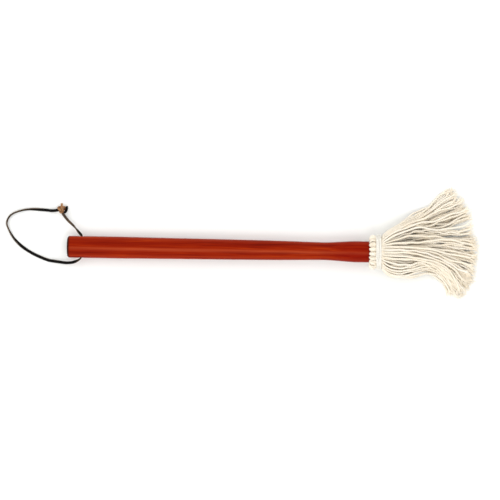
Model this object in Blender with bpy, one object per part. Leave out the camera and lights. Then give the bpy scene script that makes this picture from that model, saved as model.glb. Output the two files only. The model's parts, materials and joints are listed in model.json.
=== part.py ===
"""A basting mop: a turned wooden handle, a leather hanging thong and a head of cotton yarn.

The mop lies on a flat surface at z = 0 with its handle along +X, butt first, and its head at the
far end. The head is wider than the handle, so the handle's axis climbs slightly towards it.
"Station" is the distance along that axis from the butt, "across" is sideways (+Y) and "up" is
square to both. The origin is on the surface, under the middle of the handle and head together.
All lengths are in metres.
"""

import math

import bmesh
import bpy
import numpy as np
from mathutils import Matrix, Vector

GAP = 0.0003

# The whole mop, and its butt's rounded edge: inset and station as shares of the chamfer
BUTT_RADIUS = 0.0114
BUTT_CHAMFER = 0.002
BUTT_EDGE = ((1.0, 0.0), (0.3, 0.3), (0.0, 1.0))
ORIGIN_STATION = 0.2160
ORIGIN_ACROSS = 0.0100

# The handle: radius at each station of the part that shows, then the spigot inside the head
HANDLE_OUTLINE = (
    (0.056, 0.0114),
    (0.107, 0.0110),
    (0.174, 0.0106),
    (0.224, 0.0101),
    (0.258, 0.0094),
    (0.275, 0.0094),
    (0.299, 0.0109),
    (0.317, 0.0110),
)
OUTLINE_STEPS = 3
SPIGOT_START = 0.3183
SPIGOT_RADIUS = 0.0095
SPIGOT_END = 0.340
SPIGOT_ROUND = 0.002
HANDLE_SIDES = 32
WELD_DISTANCE = 0.00001

# The hanging hole, bored straight across the handle
HOLE_STATION = 0.015
HOLE_RADIUS = 0.00225
HOLE_SIDES = 20
HOLE_CUTTER_LENGTH = 0.045

# The head: each lock of yarn lies on the spigot, folds back over the inner tie and is bound again
LOCKS = 20
FOLD_STATION = 0.3205
TIE_TURN_RADIUS = 0.0132
FOLD_INSIDE = 0.0009
FOLD_OUTSIDE = 0.0032
FOLD_SECTIONS = 4
HEAD_RADIUS = TIE_TURN_RADIUS + FOLD_OUTSIDE
BINDING_FRONT = 0.330
STRAND_LENGTH = 0.103
LEFT_EDGE_TRIM = 0.010
STRAND_SECTIONS = 12
LOCK_GAP = 0.0005
LOCK_SHARP_ANGLE = math.radians(40.0)

# Yarn legs beyond the binding: distance from it, then the radii between which each leg runs
LEG_DISTANCES = (0.0, 0.010, 0.026)
INNER_LEG_INSIDE = (0.0100, 0.0100, 0.0030)
INNER_LEG_OUTSIDE = (0.0123, 0.0123, 0.0095)
OUTER_LEG_INSIDE = (0.0141, 0.0134, 0.0101)

# The spread of the yarn on the surface: plan heading in degrees, for strands that leave the
# binding from its right edge (-1) to its left edge (1), at even steps along their length
SPREAD_ACROSS = (-1.0, -0.5, 0.0, 0.5, 1.0)
SPREAD_HEADINGS = (
    (-20.0, 7.0, 0.0, -50.0, -54.0),
    (-8.0, 2.0, -5.0, -46.0, -54.0),
    (0.0, 0.0, -12.0, -28.0, -38.0),
    (12.0, 14.0, 10.0, 8.0, 4.0),
    (24.0, 30.0, 36.0, 42.0, 38.0),
)
SPREAD_HEIGHTS = (0.033, 0.027, 0.020, 0.015, 0.012)
SETTLE_START = 0.012
SETTLE_END = 0.080
WALK_STEP = 0.002

# Twine: a hidden tie under the fold and the binding that shows
TIE_TWINE_RADIUS = 0.0006
TIE_PITCH = 0.0015
TIE_START = 0.3225
BINDING_TWINE_RADIUS = 0.0008
BINDING_PITCH = 0.0019
BINDING_START = 0.3240
TWINE_TURNS = 3
POINTS_PER_TURN = 24

# The thong: one leather lace through the hanging hole, its two ends tied in a knot
LACE_RADIUS = 0.0014
LACE_POINT_SPACING = 0.0052
KNOT_CENTRE = (-0.0072, 0.0396, 0.0050)
KNOT_RADII = (0.0052, 0.0050, 0.0048)
KNOT_TAILS = ((0.0, 0.8, 0.25), (0.85, 0.35, -0.15))
KNOT_TAIL_START = 0.001
KNOT_TAIL_LENGTH = 0.0075

# Points that the lace passes, from one side of the knot round the loop, through the hole and
# back to the knot: station, across, height above the surface
LACE_ROUTE = (
    (-0.0127, 0.0383, 0.0042),
    (-0.0177, 0.0379, 0.0026),
    (-0.0250, 0.0386, 0.0016),
    (-0.0412, 0.0390, 0.0015),
    (-0.0533, 0.0364, 0.0015),
    (-0.0611, 0.0321, 0.0015),
    (-0.0646, 0.0252, 0.0015),
    (-0.0632, 0.0190, 0.0015),
    (-0.0574, 0.0090, 0.0015),
    (-0.0481, -0.0003, 0.0015),
    (-0.0358, -0.0079, 0.0015),
    (-0.0215, -0.0138, 0.0017),
    (-0.0133, -0.0153, 0.0026),
    (-0.0023, -0.0167, 0.0055),
    (0.0045, -0.0165, 0.0081),
    (0.0084, -0.0154, 0.0097),
    (0.0115, -0.0141, 0.0108),
    (0.0139, -0.0121, 0.0115),
    (0.0150, -0.0094, 0.0117),
    (0.0150, 0.0000, 0.0117),
    (0.0150, 0.0094, 0.0117),
    (0.0146, 0.0119, 0.0115),
    (0.0129, 0.0142, 0.0110),
    (0.0062, 0.0220, 0.0084),
    (0.0001, 0.0277, 0.0064),
    (-0.0048, 0.0336, 0.0051),
)

# The handle's axis climbs from the butt, which rests on the surface, to the bound collar
COLLAR_RADIUS = HEAD_RADIUS + GAP + 2 * BINDING_TWINE_RADIUS
COLLAR_STATION = BINDING_START + BINDING_PITCH * TWINE_TURNS / 2
AXIS_CLIMB = math.asin((COLLAR_RADIUS - BUTT_RADIUS) / (COLLAR_STATION - BUTT_CHAMFER))
AXIS = Vector((math.cos(AXIS_CLIMB), 0.0, math.sin(AXIS_CLIMB)))
AXIS_UP = Vector((-math.sin(AXIS_CLIMB), 0.0, math.cos(AXIS_CLIMB)))
BUTT_HEIGHT = BUTT_RADIUS * math.cos(AXIS_CLIMB) - BUTT_CHAMFER * math.sin(AXIS_CLIMB)
BUTT_CENTRE = Vector((-ORIGIN_STATION, -ORIGIN_ACROSS, BUTT_HEIGHT))


def clear_scene():
    for item in list(bpy.data.objects):
        bpy.data.objects.remove(item, do_unlink=True)


def make_material(name, color, roughness):
    material = bpy.data.materials.new(name)
    material.use_nodes = True
    shader = material.node_tree.nodes["Principled BSDF"]
    shader.inputs["Base Color"].default_value = (*color, 1.0)
    shader.inputs["Roughness"].default_value = roughness
    shader.inputs["Metallic"].default_value = 0.0
    return material


def on_axis(station, across, up):
    """The place at a station of the handle's axis, then across and square up from it."""
    return BUTT_CENTRE + AXIS * station + Vector((0.0, across, 0.0)) + AXIS_UP * up


def add_object(name, data, material, parent=None, location=(0.0, 0.0, 0.0)):
    data.materials.append(material)
    item = bpy.data.objects.new(name, data)
    item.location = location
    item.parent = parent
    bpy.context.collection.objects.link(item)
    return item


def smooth_curve(points, spacing):
    """Points about spacing apart on a Catmull-Rom curve through the given points."""
    points = [Vector(point) for point in points]
    padded = [2 * points[0] - points[1], *points, 2 * points[-1] - points[-2]]
    result = []
    for before, start, end, after in zip(padded, padded[1:], padded[2:], padded[3:]):
        steps = max(1, round((end - start).length / spacing))
        for step in range(steps):
            t = step / steps
            drift = (end - before) * t
            bend = (2 * before - 5 * start + 4 * end - after) * t**2
            twist = (3 * start - before - 3 * end + after) * t**3
            result.append((2 * start + drift + bend + twist) / 2)
    return [*result, points[-1]]


def add_tube(name, points, radius, resolution, material, parent=None, location=(0.0, 0.0, 0.0)):
    """A round tube with closed ends along the given points."""
    curve = bpy.data.curves.new(name, "CURVE")
    curve.dimensions = "3D"
    curve.bevel_depth = radius
    curve.bevel_resolution = resolution
    curve.use_fill_caps = True
    spline = curve.splines.new("POLY")
    spline.points.add(len(points) - 1)
    for place, point in zip(spline.points, points):
        place.co = (*point, 1.0)
    return add_object(name, curve, material, parent, location)


# ---------------------------------------------------------------- handle


def handle_profile():
    """Radius and station down the handle's outer side, from the head end to the butt."""
    stations = [station for station, _ in HANDLE_OUTLINE]
    spacing = (stations[-1] - stations[0]) / (len(stations) * OUTLINE_STEPS)
    side = smooth_curve([(radius, 0.0, station) for station, radius in HANDLE_OUTLINE], spacing)
    profile = [
        (0.0, 0.0),
        *[(BUTT_RADIUS - BUTT_CHAMFER * inset, BUTT_CHAMFER * along) for inset, along in BUTT_EDGE],
        *[(point.x, point.z) for point in side],
        (SPIGOT_RADIUS, SPIGOT_START),
        (SPIGOT_RADIUS, SPIGOT_END - SPIGOT_ROUND),
        (SPIGOT_RADIUS - SPIGOT_ROUND, SPIGOT_END),
        (0.0, SPIGOT_END),
    ]
    return profile[::-1]


def add_handle(parent, material):
    """The turned handle, its profile spun about its own axis, with the hanging hole through it."""
    mesh = bpy.data.meshes.new("handle")
    points = [(radius, 0.0, station) for radius, station in handle_profile()]
    mesh.from_pydata(points, [(i, i + 1) for i in range(len(points) - 1)], [])
    handle = add_object("handle", mesh, material, parent)
    handle.rotation_euler = (0.0, math.radians(90.0), 0.0)
    screw = handle.modifiers.new("turning", "SCREW")
    screw.axis = "Z"
    screw.steps = HANDLE_SIDES
    screw.render_steps = HANDLE_SIDES
    screw.use_merge_vertices = True
    screw.merge_threshold = WELD_DISTANCE
    screw.use_smooth_shade = True
    bore = handle.modifiers.new("hanging_hole", "BOOLEAN")
    bore.operation = "DIFFERENCE"
    bore.object = add_hole_cutter(parent, material)
    return handle


def add_hole_cutter(parent, material):
    mesh = bpy.data.meshes.new("hole_cutter")
    bm = bmesh.new()
    bmesh.ops.create_cone(
        bm,
        cap_ends=True,
        segments=HOLE_SIDES,
        radius1=HOLE_RADIUS,
        radius2=HOLE_RADIUS,
        depth=HOLE_CUTTER_LENGTH,
        matrix=Matrix.Rotation(math.radians(90.0), 4, "X"),
    )
    bm.to_mesh(mesh)
    bm.free()
    cutter = add_object("hole_cutter", mesh, material, parent, (HOLE_STATION, 0.0, 0.0))
    cutter.hide_render = True
    cutter.display_type = "WIRE"
    return cutter


# ---------------------------------------------------------------- yarn head


def strand_heading(across, distance):
    """Plan heading of a strand, in radians from +X, at a distance beyond the binding."""
    steps = np.linspace(0.0, STRAND_LENGTH, len(SPREAD_HEADINGS[0]))
    headings = [np.interp(distance, steps, row) for row in SPREAD_HEADINGS]
    return math.radians(np.interp(across, SPREAD_ACROSS, headings))


def strand_point(across, up, distance):
    """A strand's place at a distance beyond the binding.

    across and up say where it leaves the binding, as shares of the head's radius. The round
    bundle settles into a fan with a flat underside as it goes. The strands of the left edge are
    a little shorter, so the same distance is less there.
    """
    place = on_axis(BINDING_FRONT, across * HEAD_RADIUS, up * HEAD_RADIUS)
    distance *= 1.0 - LEFT_EDGE_TRIM / STRAND_LENGTH * max(0.0, across) ** 3
    steps = max(1, round(distance / WALK_STEP))
    stride = distance / steps
    for step in range(steps):
        heading = strand_heading(across, (step + 0.5) * stride)
        place += Vector((math.cos(heading), math.sin(heading), AXIS.z)) * stride
    heights = np.linspace(0.0, STRAND_LENGTH, len(SPREAD_HEIGHTS))
    height = np.interp(distance, heights, SPREAD_HEIGHTS)
    flat = height * (up + math.sqrt(max(0.0, 1.0 - across**2))) / 2
    settled = np.clip((distance - SETTLE_START) / (SETTLE_END - SETTLE_START), 0.0, 1.0)
    settled = settled**2 * (3 - 2 * settled)
    place.z += (flat - place.z) * settled
    return place


def edge_angle(edges, side, radius):
    """The angle of one side of a lock, half a gap short of its neighbour."""
    return edges[side] + LOCK_GAP / 2 / radius * (1 - 2 * side)


def leg_ring(edges, distance, near, far):
    """A section of a leg beyond the binding; near and far are its radii nearer the tie and not."""
    corners = []
    for radius, side in ((near, 0), (far, 0), (far, 1), (near, 1)):
        angle = edge_angle(edges, side, radius)
        across = radius * math.cos(angle) / HEAD_RADIUS
        up = radius * math.sin(angle) / HEAD_RADIUS
        corners.append(strand_point(across, up, distance))
    return corners


def fold_ring(edges, turn):
    """The section of a lock at an angle round its fold, from the inner leg (-90) to the outer (90)."""
    corners = []
    for reach, side in ((FOLD_INSIDE, 0), (FOLD_OUTSIDE, 0), (FOLD_OUTSIDE, 1), (FOLD_INSIDE, 1)):
        radius = TIE_TURN_RADIUS + reach * math.sin(turn)
        station = FOLD_STATION - reach * math.cos(turn)
        angle = edge_angle(edges, side, radius)
        corners.append(on_axis(station, radius * math.cos(angle), radius * math.sin(angle)))
    return corners


def lock_rings(edges):
    """Sections of one lock: up its inner leg to the fold, round the tie, and down its outer leg."""
    rings = []
    for distance in np.linspace(STRAND_LENGTH, 0.0, STRAND_SECTIONS):
        near = np.interp(distance, LEG_DISTANCES, INNER_LEG_OUTSIDE)
        far = np.interp(distance, LEG_DISTANCES, INNER_LEG_INSIDE)
        rings.append(leg_ring(edges, distance, near, far))
    for turn in np.linspace(-math.pi / 2, math.pi / 2, FOLD_SECTIONS):
        rings.append(fold_ring(edges, turn))
    for distance in np.linspace(0.0, STRAND_LENGTH, STRAND_SECTIONS):
        near = np.interp(distance, LEG_DISTANCES, OUTER_LEG_INSIDE)
        rings.append(leg_ring(edges, distance, near, HEAD_RADIUS))
    return rings


def add_lock(number, material):
    """One lock of yarn; touching walls of two locks are split into triangles the same way."""
    centre = on_axis(BINDING_FRONT, 0.0, 0.0)
    edges = (math.tau * number / LOCKS, math.tau * (number + 1) / LOCKS)
    bm = bmesh.new()
    rings = [
        [bm.verts.new(corner - centre) for corner in ring]
        for ring in lock_rings(edges)
    ]
    for ring, following in zip(rings, rings[1:]):
        for i, j in ((0, 1), (1, 2), (3, 2), (0, 3)):
            bm.faces.new((ring[i], ring[j], following[j]))
            bm.faces.new((ring[i], following[j], following[i]))
    bm.faces.new(rings[0])
    bm.faces.new(rings[-1])
    bmesh.ops.recalc_face_normals(bm, faces=bm.faces[:])
    name = f"yarn_lock_{number + 1:02d}"
    mesh = bpy.data.meshes.new(name)
    bm.to_mesh(mesh)
    bm.free()
    mesh.shade_smooth()
    mesh.set_sharp_from_angle(angle=LOCK_SHARP_ANGLE)
    return add_object(name, mesh, material, location=centre)


# ---------------------------------------------------------------- twine and thong


def add_winding(name, turn_radius, twine_radius, start, pitch, parent, material):
    """Turns of twine wound round the handle's axis."""
    points = []
    for step in range(TWINE_TURNS * POINTS_PER_TURN + 1):
        turns = step / POINTS_PER_TURN
        angle = math.tau * turns
        across = turn_radius * math.cos(angle)
        up = turn_radius * math.sin(angle)
        points.append((pitch * turns, across, up))
    return add_tube(name, points, twine_radius, 1, material, parent, (start, 0.0, 0.0))


def lace_place(point):
    """World place of a point given by station, across and height above the surface."""
    station, across, height = point
    return Vector((station - ORIGIN_STATION, across - ORIGIN_ACROSS, height))


def add_thong(pivot, material):
    """The lace, from one side of the knot round its loop, through the hole and back."""
    route = smooth_curve([lace_place(point) for point in LACE_ROUTE], LACE_POINT_SPACING)
    points = [point - pivot.location for point in route]
    return add_tube("leather_thong", points, LACE_RADIUS, 2, material, pivot)


def add_knot(pivot, material):
    """The knot's outer shape, with the lace's two cut ends standing out of it."""
    bm = bmesh.new()
    bmesh.ops.create_icosphere(bm, subdivisions=2, radius=1.0)
    bmesh.ops.scale(bm, vec=KNOT_RADII, verts=bm.verts[:])
    mesh = bpy.data.meshes.new("thong_knot")
    bm.to_mesh(mesh)
    bm.free()
    mesh.shade_smooth()
    knot = add_object("thong_knot", mesh, material, pivot)
    knot.location = lace_place(KNOT_CENTRE) - pivot.location
    for number, direction in enumerate(KNOT_TAILS):
        join = knot.modifiers.new(f"tail_{number + 1}", "BOOLEAN")
        join.operation = "UNION"
        join.object = add_tail(number, Vector(direction).normalized(), knot, material)
    return knot


def add_tail(number, direction, knot, material):
    name = f"tail_{number + 1}_shape"
    points = [direction * KNOT_TAIL_START, direction * KNOT_TAIL_LENGTH]
    tail = add_tube(name, points, LACE_RADIUS, 2, material, knot)
    mesh = bpy.data.meshes.new_from_object(tail.evaluated_get(evaluated_scene()))
    bpy.data.objects.remove(tail, do_unlink=True)
    weld(mesh)
    shape = add_object(name, mesh, material, knot)
    shape.hide_render = True
    shape.display_type = "WIRE"
    return shape


def evaluated_scene():
    graph = bpy.context.evaluated_depsgraph_get()
    graph.update()
    return graph


def weld(mesh):
    """Join the tube's caps to its sides."""
    bm = bmesh.new()
    bm.from_mesh(mesh)
    bmesh.ops.remove_doubles(bm, verts=bm.verts[:], dist=WELD_DISTANCE)
    bmesh.ops.recalc_face_normals(bm, faces=bm.faces[:])
    bm.to_mesh(mesh)
    bm.free()


def add_empty(name, location):
    empty = bpy.data.objects.new(name, None)
    empty.location = location
    bpy.context.collection.objects.link(empty)
    return empty


def main():
    clear_scene()
    wood = make_material("stained_wood", (0.35, 0.030, 0.005), 0.38)
    yarn = make_material("cotton_yarn", (0.79, 0.72, 0.60), 0.95)
    twine = make_material("cotton_twine", (0.86, 0.83, 0.76), 0.90)
    leather = make_material("leather_lace", (0.035, 0.020, 0.014), 0.65)

    mop_axis = add_empty("mop_axis", BUTT_CENTRE)
    mop_axis.rotation_euler = (0.0, -AXIS_CLIMB, 0.0)
    thong_pivot = add_empty("thong_pivot", on_axis(HOLE_STATION, 0.0, 0.0))

    add_handle(mop_axis, wood)
    add_winding(
        "inner_tie", TIE_TURN_RADIUS, TIE_TWINE_RADIUS, TIE_START, TIE_PITCH, mop_axis, twine
    )
    add_winding(
        "binding_twine",
        HEAD_RADIUS + GAP + BINDING_TWINE_RADIUS,
        BINDING_TWINE_RADIUS,
        BINDING_START,
        BINDING_PITCH,
        mop_axis,
        twine,
    )
    for number in range(LOCKS):
        add_lock(number, yarn)
    add_thong(thong_pivot, leather)
    add_knot(thong_pivot, leather)


main()
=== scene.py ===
"""The looks of the basting mop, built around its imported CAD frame.

The mop lies on a pale floor at z = 0 with its handle along +X. Every yarn of the head is one
twisted strand: it starts at a cut end in the fan, runs back along the spigot, folds over the
inner tie and runs out to its other cut end. All lengths are in metres, in the frame's own axes.
"""

import json
import math

import bpy
import numpy as np
from mathutils import Matrix, Vector

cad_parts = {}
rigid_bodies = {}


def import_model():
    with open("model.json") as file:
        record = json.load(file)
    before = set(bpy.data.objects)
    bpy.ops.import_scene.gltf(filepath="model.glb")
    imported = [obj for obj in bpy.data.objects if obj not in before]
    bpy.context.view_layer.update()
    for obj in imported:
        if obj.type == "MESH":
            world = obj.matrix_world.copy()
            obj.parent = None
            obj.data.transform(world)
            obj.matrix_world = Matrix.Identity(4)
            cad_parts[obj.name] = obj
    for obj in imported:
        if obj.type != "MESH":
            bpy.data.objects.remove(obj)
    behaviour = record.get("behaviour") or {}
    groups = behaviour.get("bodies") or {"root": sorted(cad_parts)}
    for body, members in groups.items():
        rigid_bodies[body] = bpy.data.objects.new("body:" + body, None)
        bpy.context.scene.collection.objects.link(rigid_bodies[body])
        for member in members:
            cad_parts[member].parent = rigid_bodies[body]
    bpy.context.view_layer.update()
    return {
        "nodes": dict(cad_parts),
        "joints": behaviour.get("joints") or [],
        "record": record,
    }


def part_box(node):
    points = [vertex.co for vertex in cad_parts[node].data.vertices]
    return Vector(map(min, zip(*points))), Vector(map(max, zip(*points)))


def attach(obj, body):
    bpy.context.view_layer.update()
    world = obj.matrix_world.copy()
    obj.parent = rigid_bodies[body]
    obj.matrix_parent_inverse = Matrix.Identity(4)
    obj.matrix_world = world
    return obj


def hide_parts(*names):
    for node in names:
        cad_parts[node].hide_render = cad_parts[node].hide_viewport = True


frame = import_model()

# ---------------- places read from the frame

BUTT_MOUNT = next(m for m in frame["record"]["mounts"] if m["name"] == "butt_face")
BUTT = np.array(BUTT_MOUNT["pos_m"])
AXIS = -np.array(BUTT_MOUNT["axis"])
AXIS /= np.linalg.norm(AXIS)
ACROSS = np.array((0.0, 1.0, 0.0))
UP = (0.0, 0.0, 1.0)
AXIS_UP = np.cross(AXIS, ACROSS)
HOLE = np.array(frame["joints"][0]["pos_m"])
HOLE_STATION = float((HOLE - BUTT) @ AXIS)
LOCKS = sorted(name for name in frame["nodes"] if name.startswith("yarn_lock"))

# A ring of the CAD handle's turned side has more points than this; the hole's edges have fewer
RING_POINTS = 24
STATION_DIGITS = 4


def station_of(points):
    """Distance of points along the handle's axis from its butt."""
    return (np.asarray(points) - BUTT) @ AXIS


def on_axis(station, across=0.0, up=0.0):
    """The place at a station of the handle's axis, then across and square up from it."""
    spread = np.multiply.outer(across, ACROSS) + np.multiply.outer(up, AXIS_UP)
    return BUTT + np.multiply.outer(station, AXIS) + spread


def node_points(name):
    return np.array([vertex.co for vertex in frame["nodes"][name].data.vertices])


def winding_size(name):
    """First and last station and the outer radius of a winding of twine."""
    low, high = (np.array(corner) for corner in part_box(name))
    stations = station_of(node_points(name))
    return float(stations.min()), float(stations.max()), float(high[1] - low[1]) / 2


def handle_outline():
    """Station and radius pairs of the turned side, read from the CAD handle's own rings."""
    points = node_points("handle")
    stations = station_of(points)
    radii = np.linalg.norm(points - on_axis(stations), axis=1)
    near = np.round(stations, STATION_DIGITS)
    rings = []
    for station in np.unique(near):
        here = near == station
        if here.sum() > RING_POINTS:
            rings.append((station, float(radii[here].max())))
    return np.array(rings)


HANDLE_OUTLINE = handle_outline()
HOLE_MOUTH = float(np.interp(HOLE_STATION, *HANDLE_OUTLINE.T))
SPIGOT_END = float(station_of(node_points("handle")).max())
BINDING_START, BINDING_END, BINDING_RADIUS = winding_size("binding_twine")
TIE_START, TIE_END, TIE_RADIUS = winding_size("inner_tie")

# ---------------- sizes of what is made here

YARN_RADIUS = 0.00115
YARN_SQUEEZE = 0.25
YARN_PLIES = 3
YARN_TWIST = 0.0075
YARNS_PER_LOCK = 4
STRAND_LENGTH = 0.103
SPIGOT_RADIUS = 0.0095
HEAD_RADIUS = 0.0164
FOLD_BEFORE_TIE = 0.0007
FOLD_STATION = TIE_START - FOLD_BEFORE_TIE
BINDING_EDGE = 0.0002
BINDING_FRONT = BINDING_END - BINDING_EDGE

BINDING_TWINE_RADIUS = 0.00098
TIE_TWINE_RADIUS = 0.0006
TWINE_TURNS = 3

LACE_WIDTH = 0.0030
LACE_THICKNESS = 0.0017

# Steps of a smooth curve between two of its points, and edges sharper than these angles in
# degrees are shaded as edges
CURVE_STEPS = 6
SHARP_ANGLE = 60.0
SHARP_STRAND_ANGLE = 75.0
SHARP_LACE_ANGLE = 50.0
SHARP_HANDLE_ANGLE = 40.0

# ---------------- small tools


def remove_default_objects():
    for name in ("Cube", "Light", "Camera"):
        if name in bpy.data.objects:
            bpy.data.objects.remove(bpy.data.objects[name], do_unlink=True)


def mesh_object(name, vertices, faces, material, sharp_angle=SHARP_ANGLE):
    """A new object in the scene with one material and smooth shading between its edges."""
    mesh = bpy.data.meshes.new(name)
    mesh.from_pydata([tuple(v) for v in vertices], [], faces)
    mesh.materials.append(material)
    mesh.validate()
    mesh.shade_smooth()
    mesh.set_sharp_from_angle(angle=math.radians(sharp_angle))
    item = bpy.data.objects.new(name, mesh)
    bpy.context.scene.collection.objects.link(item)
    return item


def add_attribute(item, name, values):
    attribute = item.data.attributes.new(name, "FLOAT", "POINT")
    attribute.data.foreach_set("value", np.asarray(values, np.float32))


def smoothstep(value, low, high):
    """An eased rise from 0 at low to 1 at high."""
    t = np.clip((np.asarray(value, float) - low) / (high - low), 0.0, 1.0)
    return t * t * (3 - 2 * t)


def arc_lengths(path):
    """Distance along the path of each of its points."""
    steps = np.linalg.norm(np.diff(path, axis=0), axis=1)
    return np.concatenate([[0.0], np.cumsum(steps)])


def resampled(path, spacing):
    """A smooth curve through the path's points, read at even steps of about spacing."""
    fine = catmull_rom(path, CURVE_STEPS)
    along = arc_lengths(fine)
    count = max(2, round(along[-1] / spacing) + 1)
    even = np.linspace(0.0, along[-1], count)
    return np.stack([np.interp(even, along, fine[:, axis]) for axis in range(3)], axis=1)


def catmull_rom(points, steps):
    """A Catmull-Rom curve through the points, with this many steps from one to the next."""
    points = np.asarray(points, float)
    padded = np.vstack([2 * points[0] - points[1], points, 2 * points[-1] - points[-2]])
    before, start, end, after = padded[:-3], padded[1:-2], padded[2:-1], padded[3:]
    t = (np.arange(steps) / steps)[:, None, None]
    curve = (
        2 * start
        + (end - before) * t
        + (2 * before - 5 * start + 4 * end - after) * t**2
        + (3 * start - before - 3 * end + after) * t**3
    ) / 2
    return np.vstack([curve.transpose(1, 0, 2).reshape(-1, 3), points[-1:]])


def across_and_up(radii, angles):
    """Places round the handle's axis, at angles that start from its left side."""
    return radii * np.cos(angles), radii * np.sin(angles)


def frames_along(path, start_normal=UP):
    """Tangents, and normals and side vectors that turn as little as they can along the path."""
    tangents = np.gradient(path, axis=0)
    tangents /= np.linalg.norm(tangents, axis=1)[:, None]
    normals = np.empty_like(path)
    normal = np.array(start_normal, float)
    for i, tangent in enumerate(tangents):
        normal = normal - tangent * (normal @ tangent)
        normal /= np.linalg.norm(normal)
        normals[i] = normal
    return tangents, normals, np.cross(tangents, normals)


def sweep(path, rings, start_normal=UP):
    """Vertices and faces of a tube; rings holds each section's outline as (normal, side) pairs."""
    _, normals, sides = frames_along(path, start_normal)
    placed = path[:, None] + rings[..., :1] * normals[:, None] + rings[..., 1:] * sides[:, None]
    count, around = placed.shape[:2]
    faces = []
    for ring in range(count - 1):
        base = ring * around
        for i in range(around):
            j = (i + 1) % around
            faces.append((base + i, base + around + i, base + around + j, base + j))
    faces.append(tuple(range(around)))
    faces.append(tuple(range(count * around - 1, (count - 1) * around - 1, -1)))
    return placed.reshape(-1, 3), faces


class Joined:
    """Several swept pieces gathered into one mesh, with a tone for each."""

    def __init__(self):
        self.vertices, self.faces, self.tones = [], [], []
        self.count = 0

    def add(self, vertices, faces, tone):
        self.vertices.append(vertices)
        self.faces.extend(tuple(i + self.count for i in face) for face in faces)
        self.tones.append(np.broadcast_to(tone, len(vertices)))
        self.count += len(vertices)

    def build(self, name, material):
        vertices = np.vstack(self.vertices)
        item = mesh_object(name, vertices, self.faces, material, SHARP_STRAND_ANGLE)
        add_attribute(item, "tone", np.concatenate(self.tones))
        return item


# ---------------- plied yarn

# One ply's outline, from groove to groove, as shares of the strand's radius
PLY_SHAPE = (0.68, 0.98, 1.08, 0.98)


def plied_rings(lengths, radii, plies, twist, phase):
    """Sections of a plied strand: each ply is a round shoulder, and the plies wind round."""
    shape = np.tile(PLY_SHAPE, plies)
    around = len(shape)
    angles = math.tau * (np.arange(around) / around + (lengths[:, None] / twist + phase))
    reach = radii[:, None] * shape
    return np.stack([reach * np.cos(angles), reach * np.sin(angles)], axis=-1)


def add_strand(joined, path, radii, plies, twist, phase, tone):
    """One plied strand; twist is the length in which its plies go round once."""
    rings = plied_rings(arc_lengths(path), radii, plies, twist, phase)
    joined.add(*sweep(path, rings), tone)


# The opened fibres of a cut end: their number, form and random ranges, with thicknesses and
# heights as shares of the yarn's radius
FRAY_LENGTH = 0.0075
FRAY_STRANDS = 6
FRAY_STEPS = 6
FRAY_SIDES = 5
FRAY_TURN = (-0.08, 0.08)
FRAY_LENGTH_SHARE = (0.4, 1.25)
FRAY_BEND = (0.10, 0.75)
FRAY_FLATNESS = 0.7
FRAY_START = 0.45
FRAY_HEIGHT = 0.6
FRAY_RADIUS = 0.42
FRAY_TAPER = 0.8


def add_fray(joined, path, radius, random, tone):
    """The fibres of a cut end, opened out past the strand's last section."""
    tangent = path[-1] - path[-3]
    tangent /= np.linalg.norm(tangent)
    side = np.cross(tangent, UP)
    side /= np.linalg.norm(side)
    upright = np.cross(side, tangent)
    angles = math.tau * np.arange(FRAY_SIDES) / FRAY_SIDES
    t = np.linspace(0.0, 1.0, FRAY_STEPS)[:, None]
    taper = radius * FRAY_RADIUS * (1.0 - FRAY_TAPER * t[:, 0] ** 2)
    rings = np.stack([np.outer(taper, np.cos(angles)), np.outer(taper, np.sin(angles))], -1)
    for strand in range(FRAY_STRANDS):
        turn = math.tau * (strand / FRAY_STRANDS + random.uniform(*FRAY_TURN))
        outward = math.cos(turn) * side + math.sin(turn) * upright * FRAY_FLATNESS
        length = FRAY_LENGTH * random.uniform(*FRAY_LENGTH_SHARE)
        bend = random.uniform(*FRAY_BEND)
        start = path[-2] + outward * radius * FRAY_START
        line = start + tangent * length * t + outward * length * bend * t**2
        line[:, 2] = np.maximum(line[:, 2], radius * FRAY_HEIGHT)
        joined.add(*sweep(line, rings, upright), tone)


# ---------------- the fan of yarn

# Plan headings in degrees along the strands, a row for each place in the fan: -1 is the edge at
# the handle's right, 1 the edge at its left. The columns lie at even steps of FAN_STEP from the
# binding. Two partings are jumps between rows: one opens at the binding, one halfway out.
FAN_STEP = 0.013
FAN_ROWS = (
    (-1.00, (-74, -20, 10, 19, 16, -30, -56, -60, -58)),
    (-0.84, (-46, -10, 8, 13, 7, -32, -54, -60, -60)),
    (-0.66, (-14, -3, 1, 0, -14, -38, -50, -58, -58)),
    (-0.48, (-5, 0, -2, -6, -18, -32, -42, -50, -54)),
    (-0.28, (0, 0, -3, -9, -18, -27, -34, -38, -40)),
    (-0.08, (2, 0, -3, -8, -14, -20, -24, -26, -28)),
    (0.14, (5, 4, 0, -4, -7, -10, -12, -13, -13)),
    (0.40, (12, 11, 10, 8, 6, 2, -2, -4, -5)),
    (0.43, (28, 20, 12, 5, -2, -4, -4, -3, -2)),
    (0.57, (44, 32, 18, 4, 1, 4, 10, 14, 16)),
    (0.59, (48, 34, 25, 12, 4, 8, 16, 20, 22)),
    (0.73, (52, 30, 22, 16, 26, 28, 22, 16, 12)),
    (0.87, (56, 30, 26, 22, 30, 40, 34, 24, 18)),
    (1.00, (60, 28, 27, 26, 28, 50, 44, 32, 26)),
)
FAN_HEIGHTS = (0.033, 0.031, 0.027, 0.023, 0.020, 0.017, 0.015, 0.013, 0.012)
TOP_LAYER_SHIFT = 0.20
SETTLE_START, SETTLE_END = 0.010, 0.075
LINK = 0.0017

# Slow bends of each strand: how many waves in its length, and their size in degrees
WANDER_WAVES = ((0.8, 4.0), (1.7, 6.5), (3.1, 9.0), (6.3, 13.0))
WANDER_START, WANDER_END = 0.02, 0.35

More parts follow.
